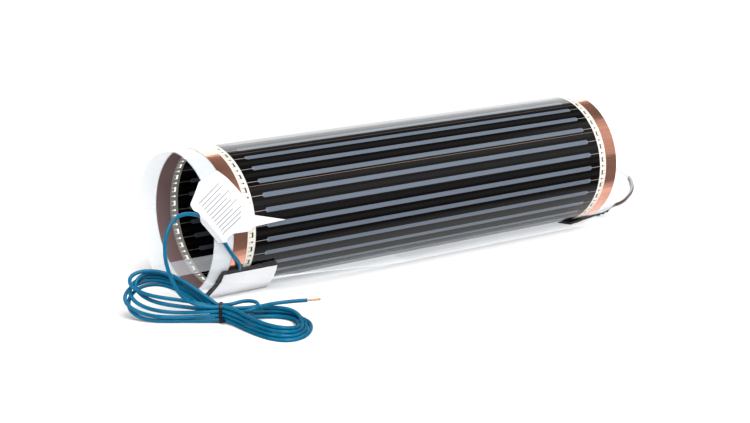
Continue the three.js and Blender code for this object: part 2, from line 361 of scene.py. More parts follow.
def new_material(name):
    material = bpy.data.materials.new(name)
    material.use_nodes = True
    material.node_tree.nodes.clear()
    tree = Tree(material.node_tree)
    shader = tree.node("ShaderNodeBsdfPrincipled")
    output = tree.node("ShaderNodeOutputMaterial")
    tree.put(output.inputs["Surface"], shader.outputs[0])
    return material, tree, shader


def new_group(name, inputs, outputs):
    """A shader node group whose inputs and outputs are (name, kind, default)."""
    group = bpy.data.node_groups.new(name, "ShaderNodeTree")
    for label, kind, default in inputs:
        socket = group.interface.new_socket(label, in_out="INPUT", socket_type=kind)
        if default is not None:
            socket.default_value = default
    for label, kind in outputs:
        group.interface.new_socket(label, in_out="OUTPUT", socket_type=kind)
    tree = Tree(group)
    entry = tree.node("NodeGroupInput").outputs
    leave = tree.node("NodeGroupOutput").inputs
    return group, tree, entry, leave


FLOAT = "NodeSocketFloat"
COLOUR = "NodeSocketColor"
VECTOR = "NodeSocketVector"


def grain_group():
    """Patches that are darker or lighter, and a fine grain that makes a piece rougher."""
    if "grain" in bpy.data.node_groups:
        return bpy.data.node_groups["grain"]
    group, tree, entry, leave = new_group(
        "grain",
        [("Place", VECTOR, None), ("Colour", COLOUR, None),
         ("Patches", FLOAT, 60.0), ("Patch detail", FLOAT, 2.0),
         ("Tone from", FLOAT, 0.8), ("Tone to", FLOAT, 1.2),
         ("Grains", FLOAT, 900.0), ("Grain detail", FLOAT, 2.0), ("Grain contrast", FLOAT, 0.5),
         ("Roughness from", FLOAT, 0.3), ("Roughness to", FLOAT, 0.5)],
        [("Colour", COLOUR), ("Roughness", FLOAT), ("Height", FLOAT)])
    place = entry["Place"]
    patches = tree.noise(place, entry["Patches"], entry["Patch detail"])
    grains = tree.noise(place, entry["Grains"], entry["Grain detail"], entry["Grain contrast"])
    tone = tree.spread(patches, entry["Tone from"], entry["Tone to"])
    rough = tree.spread(grains, entry["Roughness from"], entry["Roughness to"])
    tree.put(leave["Colour"], tree.lighter(entry["Colour"], tone))
    tree.put(leave["Roughness"], rough)
    tree.put(leave["Height"], grains)
    return group


def grained(name, values, bump=None, **inputs):
    """A material with the grain effect, a bump from its grains, and its own plain inputs."""
    material, tree, shader = new_material(name)
    values = {"Place": tree.place(), **values}
    grain = tree.node("ShaderNodeGroup", values, node_tree=grain_group())
    tree.put(shader.inputs["Base Color"], grain.outputs["Colour"])
    tree.put(shader.inputs["Roughness"], grain.outputs["Roughness"])
    if bump:
        tree.bumped(shader, grain.outputs["Height"], *bump)
    for key, value in inputs.items():
        tree.put(shader.inputs[key.replace("_", " ")], value)
    return material


# Leads


def relax(points, pinned, firm, radius, rounds):
    """Pushes strands of one lead apart until they lie on each other, above the floor."""
    p = np.array(points)
    keep = np.array(pinned)
    count = len(p)
    touching = 2.02 * radius
    step = np.linalg.norm(np.diff(p, axis=0), axis=1).mean()
    apart = int(3.2 * radius / step) + 2
    i, j = np.triu_indices(count, apart)
    home = p.copy()
    pull = np.where(np.array(firm), 0.13, 0.01)[:, None]
    for _ in range(rounds):
        gap = p[j] - p[i]
        far = np.linalg.norm(gap, axis=1)
        near = (far < touching) & (far > 1e-6)
        push = (touching - far[near])[:, None] * gap[near] / far[near][:, None]
        move = np.zeros_like(p)
        hits = np.zeros(count)
        np.add.at(move, i[near], -0.5 * push)
        np.add.at(move, j[near], 0.5 * push)
        np.add.at(hits, i[near], 1)
        np.add.at(hits, j[near], 1)
        move /= np.maximum(hits, 1)[:, None]
        p += np.where(keep[:, None], 0.25, 1.0) * move
        middle = (p[:-2] + p[2:]) / 2
        p[1:-1] += 0.12 * (middle - p[1:-1])
        p += pull * (home - p)
        p[:, 2] = np.maximum(p[:, 2], radius + 0.02)
        p[keep] += 0.14 * (home[keep] - p[keep])
    return p


def through(points, step):
    """Points about one step apart on a smooth line through the given ones."""
    curve = []
    count = len(points)
    p = [Vector(q) for q in points]
    for k in range(count - 1):
        before = p[k - 1] if k > 0 else 2 * p[0] - p[1]
        after = p[k + 2] if k + 2 < count else 2 * p[-1] - p[-2]
        a = p[k]
        b = p[k + 1]
        steps = max(1, round((b - a).length / step))
        for n in range(steps):
            t = n / steps
            point = 0.5 * (
                2 * a + (b - before) * t + (2 * before - 5 * a + 4 * b - after) * t * t
                + (3 * a - before - 3 * b + after) * t * t * t)
            curve.append(tuple(point))
    curve.append(tuple(p[-1]))
    return curve


def lead_curve(name, points, material, diameter, resolution=3):
    """One open smooth spline through layout points, as thick as a lead."""
    curve = bpy.data.curves.new(name, "CURVE")
    curve.dimensions = "3D"
    curve.resolution_u = resolution
    curve.bevel_depth = diameter / 2
    curve.bevel_resolution = 3
    curve.use_fill_caps = True
    spline = curve.splines.new("BEZIER")
    spline.bezier_points.add(len(points) - 1)
    for point, place in zip(spline.bezier_points, points):
        point.co = at(*place)
        point.handle_left_type = "AUTO"
        point.handle_right_type = "AUTO"
    curve.materials.append(material)
    return new_object(name, curve)


# Blue lead: route from the pad to the hank, in layout millimetres
BLUE_ROUTE = [
    (29.4, -57, 30.2), (28.2, -59.8, 34.6), (23.8, -63, 40.2), (17.2, -65.2, 46.8),
    (11.6, -66.4, 54.5), (6.3, -67, 62.5), (0.2, -66.9, 70.6), (-6, -66.6, 78.4),
    (-13.5, -66.4, 85.4), (-27.5, -67.8, 90.3), (-40.8, -70, 89.6), (-51.4, -73, 81.1),
    (-56.4, -76, 67.4), (-56.6, -79, 51.8), (-51.8, -82.4, 35.6),
]
# Its way from there into the tie, laid out from the tie
BLUE_JOIN = [(-33, -7.3, 26), (-25.5, -5.4, 19.2), (-18, -3.8, 15.8), (-11, -3.3, 14.6)]
BLUE_TAIL = [
    (9, -0.8, 12.3), (14, -2, 12.2), (22, -1.6, 12.6), (30, 0.6, 13), (37, 6, 13.2),
    (45.3, 11.4, 13.3), (59.2, 14, 14.2), (72, 15.4, 14.8),
]
# The places of the strands in the tie: across, height
FAR = [(3.2, 3.1), (3.2, 6.8), (3.2, 10.5), (3.2, 14.2)]
MIDDLE = [(0, 4.95), (0, 8.65), (0, 12.35)]
NEAR = [(-3.2, 3.1), (-3.2, 6.8), (-3.2, 10.5), (-3.2, 14.2)]
# Loops to the left of the tie, from the near side round to the far side, lowest first
LEFT_LOOPS = [
    [
        (-9, -3.2, 2.6), (-20, -2.5, 1.8), (-34, -1.8, 1.8), (-48, -3, 1.8), (-62, -1.8, 1.8),
        (-73, 3, 3), (-80.5, 6, 7), (-82.5, 12.5, 15), (-78, 20, 22), (-68, 25, 26.5),
        (-54, 26, 27), (-40, 22, 24), (-26, 15.5, 18), (-13, 7, 9.5),
    ],
    [
        (-9, -3.2, 6.5), (-26, -2.6, 5.2), (-47, -4.5, 5.2), (-62, -2.3, 6), (-74, 3.5, 8),
        (-83, 7.6, 12), (-86.6, 9.2, 16), (-85.5, 14, 21), (-79, 21, 27), (-68, 26, 30.5),
        (-54, 26, 30.5), (-40, 22, 27), (-26, 16.5, 20), (-13, 9, 8.5),
    ],
    [
        (-9, -3.2, 10.2), (-26, -2.4, 8.8), (-47, -2, 9), (-62, 0, 11), (-74, 5, 14),
        (-81, 10, 19), (-82.5, 15, 24), (-79, 21, 29.5), (-69, 26, 33.5), (-55, 26.5, 33.8),
        (-41, 22.5, 30.5), (-26, 16, 23), (-13, 8.6, 12.4),
    ],
    [
        (-9, 0.2, 9.6), (-20, 0.2, 12.2), (-26, -0.2, 13), (-45, 0, 14.8), (-60, 3, 17),
        (-71, 8, 21), (-77.5, 14, 25.5), (-78, 19, 30), (-73, 24, 34), (-63, 27, 36.8),
        (-50, 25.5, 36.5), (-37, 20.5, 32), (-24, 14, 25), (-12, 7, 15.4),
    ],
    [
        (-9, 0.6, 13.8), (-17, 1, 16.6), (-26, 0.4, 18.2), (-47, 0, 20.9), (-61, 2, 22.4),
        (-75, 7, 26), (-82.7, 12.5, 31.5), (-80.9, 20, 36.6), (-70.8, 22.5, 39.6),
        (-55.6, 22, 39.5), (-40, 18.5, 35.5), (-26, 12.5, 28.6), (-12, 6, 19.4),
    ],
]
# The small loop right of the tie, and the outermost of the four flat ones
RIGHT_SMALL = [
    (8.6, 2.6, 14.8), (15, 4.8, 16.4), (22, 5.6, 17.2), (28, 3.4, 17.2), (31.6, -2.6, 16.8),
    (30.4, -9.4, 15.6), (25, -13, 14), (18.4, -12.2, 12.4), (11.4, -7.4, 10.6),
]
RIGHT_OUTER = [
    (13, 6), (22, 11), (33, 15), (45, 16.5), (56, 14.8), (67, 9), (74.5, -3), (77, -17),
    (76.3, -31), (73, -45), (67.5, -55), (59.5, -60), (50, -57.5), (40.7, -49),
    (30, -36.5), (20, -23.5), (12, -10.5),
]
RIGHT_NESTING = [
    0.1, 0.1, 0.2, 0.2, 0.4, 1.8, 3.6, 3.7, 3.6, 3.0, 2.0, 1.1, 0.9, 0.8, 0.8, 0.8, 0.6,
]
RIGHT_HEIGHTS = [
    [2.6, 1.9, 1.8, 1.8, 1.8, 1.8, 1.8, 1.8, 1.8, 1.8, 1.8, 1.8, 1.8, 1.8, 1.8, 1.9, 2.5],
    [6.4, 5.6, 5.2, 5.2, 5.2, 4.5, 3.0, 2.4, 2.4, 3.2, 4.2, 4.9, 5.0, 5.0, 5.1, 5.4, 6.2],
    [9.8, 9.2, 8.7, 8.6, 8.6, 7.4, 5.0, 3.6, 3.6, 5.0, 6.8, 8.0, 8.2, 8.3, 8.5, 9.0, 10],
    [3.8, 2.2, 1.8, 1.8, 1.8, 2.4, 3.2, 4.0, 5.0, 7.0, 9.0, 10.6, 11.3, 11.5, 11.8, 12.6, 13.6],
]


def right_loop(k):
    """The k-th flat loop, nested in the outermost one."""
    loop = []
    centre = Vector((46, -20))
    for n, (a, b) in enumerate(RIGHT_OUTER):
        inwards = (centre - Vector((a, b))).normalized()
        shift = RIGHT_NESTING[n] * k
        if k == 3 and n < 6:
            shift = (2.6, 3.2, 3.6, 3.8, 4.6, 7.0)[n]
        a, b = Vector((a, b)) + inwards * shift
        loop.append((a, b, RIGHT_HEIGHTS[k][n]))
    return loop


def blue_points():
    """The whole blue lead, and which of its points the tie holds."""
    def through_tie(slot, rightwards):
        ends = [(-4, *slot), (4, *slot)]
        return ends if rightwards else ends[::-1]

    hank = list(BLUE_JOIN)
    hank += through_tie(NEAR[3], True) + right_loop(3)[::-1]
    hank += through_tie(MIDDLE[0], False) + LEFT_LOOPS[0][::-1]
    for k in range(3):
        hank += through_tie(NEAR[k], True) + right_loop(k)[::-1]
        hank += through_tie(FAR[k], False) + LEFT_LOOPS[k + 1][::-1]
    hank += through_tie(MIDDLE[1], True)
    small = len(BLUE_ROUTE) + len(hank)
    hank += RIGHT_SMALL[::-1]
    hank += through_tie(FAR[3], False) + LEFT_LOOPS[4][::-1]
    hank += through_tie(MIDDLE[2], True) + BLUE_TAIL
    points = list(BLUE_ROUTE) + [from_hank(*p) for p in hank]
    step = 4.0
    curve = through(points, step)
    first = len(through(points[:small], step))
    last = len(through(points[:small + len(RIGHT_SMALL)], step))
    firm = [first <= n <= last for n in range(len(curve))]
    tie = Vector(HANK_TIE)
    tie_reach = 5.5
    free_from = 60
    free_to = len(curve) - 12
    pinned = []
    for n, (x, y, _) in enumerate(curve):
        in_tie = (Vector((x, y)) - tie).length < tie_reach
        pinned.append(in_tie or n < free_from or n > free_to)
    return relax(curve, pinned, firm, LEAD_DIAMETER / 2, 160)


BROWN_ROUTE = [
    (503.1, -12.5, 1.85), (507.5, -11.4, 1.8), (514, -9.8, 1.8), (527, -5.5, 1.8),
    (545, 4, 1.8), (563, 9, 1.8), (592, 26, 1.8), (618, 45.5, 1.8), (641, 68, 1.8),
    (664, 96, 1.8), (680, 126, 1.8), (682, 147, 1.8), (669, 161, 1.8), (646, 162.5, 1.8),
    (623, 158.5, 1.8),
]


def coil_points():
    """Flat spirals on each other, in and out, then straight off the outer top turn."""
    outer = COIL_OUTER_RADIUS - LEAD_DIAMETER / 2
    inner = COIL_INNER_RADIUS + LEAD_DIAMETER / 2
    levels = 6
    start = 112.0
    total = 360 * 14 - start
    rise = (COIL_HEIGHT - LEAD_DIAMETER - 0.25) / (levels - 1)
    per = total / levels
    climb = 70.0
    points = []
    steps = int(total / 22.5)
    for n in range(steps + 1):
        angle = total * n / steps
        level = min(int(angle / per), levels - 1)
        within = angle - level * per
        t = min(1.0, max(0.0, (within - climb / 2) / (per - climb)))
        radius = outer + (inner - outer) * (t if level % 2 == 0 else 1 - t)
        lift = 0.0
        if within > per - climb / 2 and level < levels - 1:
            lift = (within - per + climb / 2) / climb
        if within < climb / 2 and level > 0:
            lift = (within - climb / 2) / climb
        z = LEAD_DIAMETER / 2 + 0.1 + rise * (level + lift)
        turned = math.radians(start + angle)
        points.append((
            COIL_CENTRE[0] + radius * math.cos(turned),
            COIL_CENTRE[1] + radius * math.sin(turned), z))
    leave = math.sqrt((COIL_OUTER_RADIUS + GAP) ** 2 - (outer - 0.9) ** 2) - GAP
    points.append((COIL_CENTRE[0] + outer, COIL_CENTRE[1] + leave, points[-1][2]))
    return points


def plain_insulation(name, colour):
    """Soft plastic round a lead: slightly glossy, faintly uneven, with a little dust."""
    values = {
        "Colour": colour, "Patches": 60.0, "Patch detail": 3.0, "Tone from": 0.8,
        "Tone to": 1.15, "Grains": 900.0, "Roughness from": 0.22, "Roughness to": 0.34}
    return grained(name, values, bump=(0.12, 0.0002), Specular_IOR_Level=0.22)


class HEATFILM_OT_camera(bpy.types.Operator):
    """Camera at the reference view, soft lights and a pale floor"""

    bl_idname = "heatfilm.camera"
    bl_label = "Stage and camera"

    def execute(self, context):
        settings = context.scene.heatfilm_stage
        camera = bpy.data.cameras.new("camera")
        camera.sensor_width = 36
        camera.lens = FOCAL_PIXELS / PHOTO_WIDTH * camera.sensor_width
        camera.sensor_fit = "HORIZONTAL"
        camera.clip_start = 0.05
        camera.clip_end = 60
        obj = new_object("camera", camera)
        obj.location = at(*CAMERA_PLACE)
        obj.rotation_euler = Euler((math.pi / 2 - CAMERA_DOWN, 0, CAMERA_TURN))
        context.scene.camera = obj

        deselect_all()
        bpy.ops.mesh.primitive_plane_add(size=16, location=(0.5, 1.5, 0))
        material, tree, shader = new_material("stage_floor")
        place = tree.place()
        tone = tree.spread(tree.noise(place, 3.0, 2.0), 0.985, 1.0)
        colour = tree.lighter(settings.floor, tone)
        # Painted reflection: some way in front of the free end the floor turns near black in
        # glossy rays only, which paints a dark band into the roll's reflections
        y = tree.node("ShaderNodeSeparateXYZ", {"Vector": place}).outputs[1]
        painted_dark_reflection_zone = tree.ramp(y, -0.11, -0.08, 0.95, 0.0)
        mirrored = tree.node("ShaderNodeLightPath").outputs["Is Glossy Ray"]
        seen = tree.mix(tree.both(painted_dark_reflection_zone, mirrored), colour, (0.02, 0.02, 0.02))
        tree.put(shader.inputs["Base Color"], seen)
        shader.inputs["Roughness"].default_value = 0.6
        shader.inputs["Specular IOR Level"].default_value = 0.2
        floor = named("floor", material)

        sun = bpy.data.lights.new("ceiling", "SUN")
        sun.energy = settings.key
        sun.angle = math.radians(55)
        ceiling = new_object("ceiling", sun)
        ceiling.rotation_euler = Euler((math.radians(34), math.radians(-8), 0))
        middle = (0, 0, 0.06)
        wall = self.soft_light(
            "back_box", (1.0, 1.2, 0.85), (1.0, 0, 0.85), 2.4, 1.6, settings.back)
        wall.visible_diffuse = False
        wall.visible_camera = False
        self.soft_light("left_box", (-1.9, 0.2, 0.9), middle, 1.0, 1.0, 6)
        self.soft_light("front_box", (1.1, -0.95, 0.72), middle, 1.7, 1.15, settings.front)
        fill = self.soft_light("fill", (-1.0, -2.0, 0.9), middle, 1.6, 1.0, settings.fill)
        fill.visible_glossy = False

        context.scene.view_settings.view_transform = "Standard"
        world = bpy.data.worlds.new("studio")
        context.scene.world = world
        world.use_nodes = True
        back = world.node_tree.nodes["Background"]
        back.inputs["Color"].default_value = (1, 1, 1, 1)
        back.inputs["Strength"].default_value = 0.12
        return {"FINISHED"}

    def soft_light(self, name, place, target, wide, high, power):
        light = bpy.data.lights.new(name, "AREA")
        light.shape = "RECTANGLE"
        light.size = wide
        light.size_y = high
        light.energy = power
        obj = new_object(name, light)
        obj.location = place
        look = Vector(target) - Vector(place)
        obj.rotation_euler = look.to_track_quat("-Z", "Y").to_euler()
        return obj


class HEATFILM_OT_blue_lead(bpy.types.Operator):
    """The left lead: up under the tag, round a loose loop and into its tied hank"""

    bl_idname = "heatfilm.blue_lead"
    bl_label = "Left lead"

    def execute(self, context):
        settings = context.scene.heatfilm_leads
        material = plain_insulation("blue_insulation", settings.blue)
        points = blue_points()
        lead = lead_curve("blue_lead_line", points, material, settings.diameter)
        finish_piece(lead, "blue_insulation", "blue_lead", "blue_hank", "blue_lead_end")
        return {"FINISHED"}


class HEATFILM_OT_brown_lead(bpy.types.Operator):
    """The right lead: along the floor behind the roll and into its coil"""

    bl_idname = "heatfilm.brown_lead"
    bl_label = "Right lead"

    def execute(self, context):
        settings = context.scene.heatfilm_leads
        material = plain_insulation("brown_insulation", settings.brown)
        points = BROWN_ROUTE + coil_points()
        lead = lead_curve("brown_lead_line", points, material, settings.diameter, 8)
        finish_piece(lead, "brown_insulation", "brown_lead", "brown_coil")
        return {"FINISHED"}


def tie_band(name, material, a_width, height, z0, turn, place):
    """A nylon band round a bundle, with its head and its cut tail."""
    wide = 2.8
    wall = 1.0
    deselect_all()
    bpy.ops.mesh.primitive_cylinder_add(
        vertices=48, radius=1, depth=wide, end_fill_type="NOTHING",
        rotation=(0, math.pi / 2, 0))
    band = named(name, material)
    # The round section becomes a rounded rectangle
    power = 0.5
    for vertex in band.data.vertices:
        x, y, z = vertex.co
        y = math.copysign(abs(y) ** power, y) * a_width / 2
        z = math.copysign(abs(z) ** power, z) * height / 2 + z0 + height / 2
        vertex.co = (x, y, z)
    only(band)
    walled(band, wall, 1.0)
    bevelled(band, 0.25, 50)
    head = box(
        name + "_head", material, (0, a_width / 2 + 2.2, z0 + height * 0.6), (4.4, 3.4, 5))
    bevelled(head, 0.5)
    stub = box(
        name + "_stub", material, (2.2, -a_width / 2 - 1.6, z0 + 2.4), (2.6, 3.6, 1.2),
        (0.3, 0, 0.5))
    join(band, head, stub)
    move = Matrix.Translation(at(place[0], place[1], 0)) @ Matrix.Rotation(turn, 4, "Z")
    band.data.transform(move @ Matrix.Diagonal((MM, MM, MM, 1)))
    smooth(band, 40)
    return band


def wire_end(name, material, start, direction):
    """Seven twisted strands, in line with the lead's end."""
    mesh = bmesh.new()
    axis = Vector(direction).normalized()
    side = axis.orthogonal().normalized()
    up = axis.cross(side)
    rings = 15
    sides = 8
    twist = 2.6
    strand_radius = 0.3
    for strand in range(7):
        rows = []
        for n in range(rings + 1):
            along = WIRE_LENGTH * n / rings + GAP
            angle = strand * math.tau / 6 + twist * n / rings
            spread = 0 if strand == 6 else 2 * strand_radius
            centre = side * math.cos(angle) * spread + up * math.sin(angle) * spread
            row = []
            for k in range(sides):
                turn = math.tau * k / sides
                rim = (side * math.cos(turn) + up * math.sin(turn)) * strand_radius
                row.append(Vector(start) + axis * along + centre + rim)
            rows.append(row)
        loft(mesh, rows)
    obj = object_from(mesh, name, material)
    smooth(obj, 50)
    return obj


class HEATFILM_OT_ties(bpy.types.Operator):
    """The two cable ties and the bare wire ends"""

    bl_idname = "heatfilm.ties"
    bl_label = "Ties and wire ends"

    def execute(self, context):
        settings = context.scene.heatfilm_leads
        nylon = grained("nylon", {
            "Colour": settings.nylon, "Patches": 90.0, "Tone from": 0.8, "Tone to": 1.3,
            "Grains": 700.0, "Roughness from": 0.3, "Roughness to": 0.45})
        copper = grained("copper_wire", {
            "Colour": settings.wire, "Patches": 700.0, "Patch detail": 3.0, "Tone from": 0.7,
            "Tone to": 1.2, "Grains": 700.0, "Grain detail": 3.0, "Roughness from": 0.38,
            "Roughness to": 0.25}, Metallic=1.0)
        tie = tie_band("hank_tie", nylon, 10.3, 15.0, 1.2, HANK_TURN, HANK_TIE)
        finish_piece(tie, "nylon", "blue_cable_tie")
        middle = (COIL_OUTER_RADIUS + COIL_INNER_RADIUS) / 2
        coil_tie = tie_band(
            "coil_tie", nylon, 12.0, 20.0, 1.2, 0.0,
            (COIL_CENTRE[0], COIL_CENTRE[1] - middle))
        finish_piece(coil_tie, "nylon", "brown_cable_tie")
        last = from_hank(*BLUE_TAIL[-1])
        before = from_hank(*BLUE_TAIL[-2])
        direction = Vector(last) - Vector(before)
        blue = wire_end("blue_wire", copper, last, direction)
        finish_piece(blue, "copper_wire", "blue_wire_end")
        end = coil_points()[-1]
        brown = wire_end("brown_wire", copper, end, (0, 1, 0))
        finish_piece(brown, "copper_wire", "brown_wire_end")
        return {"FINISHED"}


class HEATFILM_OT_declare(bpy.types.Operator):
    """Samples points along each lead's curve; nothing is kept or shown"""

    bl_idname = "heatfilm.declare"
    bl_label = "Lead lengths"

    def execute(self, context):
        parts = bpy.data.objects
        for name, pieces in (
            ("blue_lead_line", ["hank_tie", "blue_wire", "tag"]),
            ("brown_lead_line", ["coil_tie", "brown_wire"]),
        ):
            lead = parts[name]
            spline = lead.data.splines[0].bezier_points
            fine = []
            for a, b in zip(spline, spline[1:]):
                fine += interpolate_bezier(a.co, a.handle_right, b.handle_left, b.co, 6)
        return {"FINISHED"}


# Film

# Its strips, in millimetres from each edge
CLEAR_END = 19.4
COPPER_END = 33.9
SILVER_END = 42.2
MARK_TAIL_START = 35.6
MARK_START = 38.0
MARK_END = 39.7
SLOT_START = 56.2
SLOT_HALF_WIDTH = 2.15
CLEAR_AT_INNER_END = 18.0
CLEAR_PAST_FREE_END = 2.0
CUT_EDGE = -36.0
# How far round the wound sheet one slot lies, and two faint lines across the film
SLOT_AT_DEGREES = 267.7
LINES_AT_DEGREES = ((236.0, 0.55), (203.0, 0.3))
CLEAR_ALPHA = 0.26


def arc_length(degrees):
    """How far along the sheet an angle of winding is: the radius falls with each turn."""
    return math.radians(1) * (ROLL_RADIUS * degrees - TURN_PITCH * degrees ** 2 / 720)


def sheet_place(x, along, flap):
    """A point of the sheet's outer face: along is below zero on the free end."""
    if along < 0:
        past = min(1.0, max(0.0, (x - CURL_FULL_X) / (CURL_END_X - CURL_FULL_X)))
        bend = (1 - past) ** CURL_EASE / ROLL_RADIUS
        run = -along
        if bend * flap < 1e-4:
            return x, -run, 0.0
        radius = 1 / bend
        return x, -radius * math.sin(run * bend), radius - radius * math.cos(run * bend)
    degrees = along
    radius = ROLL_RADIUS - TURN_PITCH * degrees / 360
    angle = math.radians(degrees)
    return x, radius * math.sin(angle), ROLL_RADIUS - radius * math.cos(angle)


def film_print():
    """What is printed on the film, from millimetres across and along it."""
    group, tree, entry, leave = new_group(
        "film_print",
        [("UV", VECTOR, None), ("Width", FLOAT, 500.0), ("Pitch", FLOAT, 13.25),
         ("Carbon", COLOUR, None), ("Slots", COLOUR, None), ("Copper", COLOUR, None),
         ("Silver", COLOUR, None), ("Margin", COLOUR, None)],
        [("Colour", COLOUR), ("Metal", FLOAT), ("Clear", FLOAT), ("Window", FLOAT), ("End", FLOAT),
         ("Roughness", FLOAT), ("Height", FLOAT)])
    split = tree.node("ShaderNodeSeparateXYZ", {"Vector": entry["UV"]})
    x = tree.both(split.outputs[0], 1000.0)
    s = tree.both(split.outputs[1], 1000.0)
    edge = tree.math("MINIMUM", x, tree.minus(entry["Width"], x))
    outside = tree.math("LESS_THAN", s, CLEAR_PAST_FREE_END)
    inside = tree.math("GREATER_THAN", s, arc_length(WOUND_DEGREES) - CLEAR_AT_INNER_END)
    bare = tree.larger(outside, inside)
    mark_strip = tree.band(edge, MARK_START, MARK_END, 0.3)
    tail_strip = tree.band(edge, MARK_TAIL_START, MARK_START, 0.6)
    # Distance along from the nearest slot, and from half way between slots
    phase = tree.minus(s, arc_length(SLOT_AT_DEGREES))
    turns = tree.math("DIVIDE", phase, entry["Pitch"])
    near = tree.minus(turns, tree.math("ROUND", turns))
    ds = tree.both(tree.math("ABSOLUTE", near), entry["Pitch"])
    half = tree.minus(tree.math("DIVIDE", entry["Pitch"], 2.0), ds)
    # Slots with round ends
    dx = tree.larger(tree.minus(SLOT_START, edge), 0.0)
    reach = tree.math("SQRT", tree.math("ADD", tree.both(dx, dx), tree.both(ds, ds)))
    slot = tree.below(reach, SLOT_HALF_WIDTH, 0.25)
    # A fine grey line from the silver strip to each slot
    hair_strip = tree.band(edge, SILVER_END - 0.2, SLOT_START - 0.2, 0.3)
    hair = tree.both(tree.below(ds, 0.22, 0.15), hair_strip)
    # Marks on the silver strip
    dash = tree.both(tree.below(ds, 0.8, 0.25), mark_strip)
    dash_tail = tree.both(tree.below(ds, 0.55, 0.5), tail_strip)
    bar = tree.both(tree.below(half, 2.35, 0.25), mark_strip)
    bar_tick = tree.both(tree.band(half, 1.3, 2.3, 0.3), tail_strip)
    mark = tree.larger(dash, bar)
    faint = tree.both(tree.larger(dash_tail, bar_tick), 0.45)
    mark = tree.larger(mark, faint)
    # Strips
    copper = tree.band(edge, CLEAR_END, COPPER_END, 0.2)
    silver = tree.band(edge, COPPER_END, SILVER_END, 0.2)
    carbon = tree.above(edge, SILVER_END, 0.2)
    # Copper foil: creases across the strip and fine wrinkles, with painted shade and highlight in
    # broad bands along it
    creases = tree.noise(tree.scaled(entry["UV"], 40.0, 260.0, 1.0), 1.0, 3.0, 0.5)
    broad = tree.noise(tree.scaled(entry["UV"], 8.0, 34.0, 1.0), 1.0, 2.0, 0.5)
    foil = tree.math("ADD", tree.both(creases, 0.2), tree.both(broad, 0.8))
    # Painted shade and highlight: the copper's colour is made darker and lighter along the creases
    # and bands
    tone = tree.ramp(foil, 0.36, 0.62, 0.75, 1.2)
    copper_with_painted_shade = tree.lighter(entry["Copper"], tone)
    # Silver paste: slightly mottled
    paste = tree.noise(tree.scaled(entry["UV"], 500.0, 500.0, 1.0), 1.0, 3.0, 0.6)
    silver_tone = tree.lighter(entry["Silver"], tree.spread(paste, 0.9, 1.06))
    silver_tone = tree.mix(mark, silver_tone, (0.03, 0.028, 0.027))
    black = tree.lighter(entry["Carbon"], tree.spread(broad, 0.8, 1.3))
    # Faint lines where the turn beneath shows
    ghost = tree.both(tree.below(half, 1.9, 0.5), 0.18)
    black = tree.mix(ghost, black, (0.03, 0.032, 0.036))
    colour = tree.mix(slot, black, entry["Slots"])
    colour = tree.mix(tree.both(hair, 0.75), colour, (0.42, 0.42, 0.42))
    # Two thin tan lines
    tan = 0.0
    for degrees, strength in LINES_AT_DEGREES:
        place = arc_length(degrees)
        line = tree.band(s, place - 0.25, place + 0.25, 0.2)
        tan = tree.larger(tree.both(line, strength), tan)
    colour = tree.mix(silver, colour, silver_tone)
    colour = tree.mix(copper, colour, copper_with_painted_shade)
    milk = tree.lighter(entry["Margin"], tree.spread(broad, 0.95, 1.05))
    printed = tree.larger(tree.larger(copper, silver), carbon)
    printed = tree.both(printed, tree.minus(1.0, bare))
    colour = tree.mix(tan, colour, (0.3, 0.21, 0.15))
    colour = tree.mix(printed, milk, colour)
    # The cut edge of the clear free end
    line = tree.both(tree.band(s, CUT_EDGE - 0.5, CUT_EDGE + 0.5, 0.2), 0.3)
    colour = tree.mix(line, colour, (0.012, 0.01, 0.01))
    clear = tree.minus(1.0, tree.larger(printed, line))
    tree.put(leave["Colour"], colour)
    metal = tree.both(tree.both(copper, printed), 0.92)
    tree.put(leave["Metal"], metal)
    tree.put(leave["Clear"], clear)
    # Masks for the painted light of the film's material: the marks, and the clear free end
    tree.put(leave["Window"], tree.both(tree.both(mark, silver), printed))
    tree.put(leave["End"], tree.both(clear, tree.math("LESS_THAN", s, 0.0)))
    tree.put(leave["Roughness"], tree.blend(metal, 0.12, 0.2))
    tree.put(leave["Height"], tree.both(foil, copper))
    return group


def film_material(name, group, settings, tint=None, painted_glow=0):
    """The printed film, seen from outside or, as a darker copy with painted shade and a dull
    shaded tint for its foil, from inside.
    """
    material, tree, shader = new_material(name)
    drawn = tree.node("ShaderNodeGroup", node_tree=group)
    tree.put(drawn.inputs["UV"], tree.node("ShaderNodeUVMap", uv_map="film").outputs[0])
    for key in ("Width", "Pitch"):
        tree.put(drawn.inputs[key], getattr(settings, key.lower()) * 1000)
    for key in ("Carbon", "Slots", "Copper", "Silver", "Margin"):
        tree.put(drawn.inputs[key], tuple(getattr(settings, key.lower())))
    colour = drawn.outputs["Colour"]
    metal = drawn.outputs["Metal"]
    # Painted shade: from inside the colours are made darker and the foil takes a dull, shaded tint
    if tint:
        foil = tree.both(metal, 1.1)
        colour = tree.mix(foil, tree.lighter(colour, 0.6), tint)
        metal = tree.both(metal, 0.25)
    tree.put(shader.inputs["Base Color"], colour)
    tree.put(shader.inputs["Metallic"], metal)
    tree.put(shader.inputs["Roughness"], drawn.outputs["Roughness"])
    # Painted light: an emission stands in for light that comes through the clear margins and the
    # free end, and on the inside through the marks
    painted_light = tree.mix(drawn.outputs["Clear"], (0, 0, 0), (0.3, 0.31, 0.32))
    painted_light = tree.mix(drawn.outputs["End"], painted_light, (0.7, 0.71, 0.72))
    if painted_glow:
        painted_light = tree.mix(drawn.outputs["Window"], painted_light, (painted_glow, painted_glow * 0.98, painted_glow * 0.92))
    tree.put(shader.inputs["Emission Color"], painted_light)
    shader.inputs["Emission Strength"].default_value = 1.0
    shader.inputs["Specular IOR Level"].default_value = 0.22
    alpha = tree.ramp(drawn.outputs["Clear"], 0.0, 1.0, 1.0, CLEAR_ALPHA)
    tree.put(shader.inputs["Alpha"], alpha)
    tree.bumped(shader, drawn.outputs["Height"], 0.5, 0.0016)
    return material


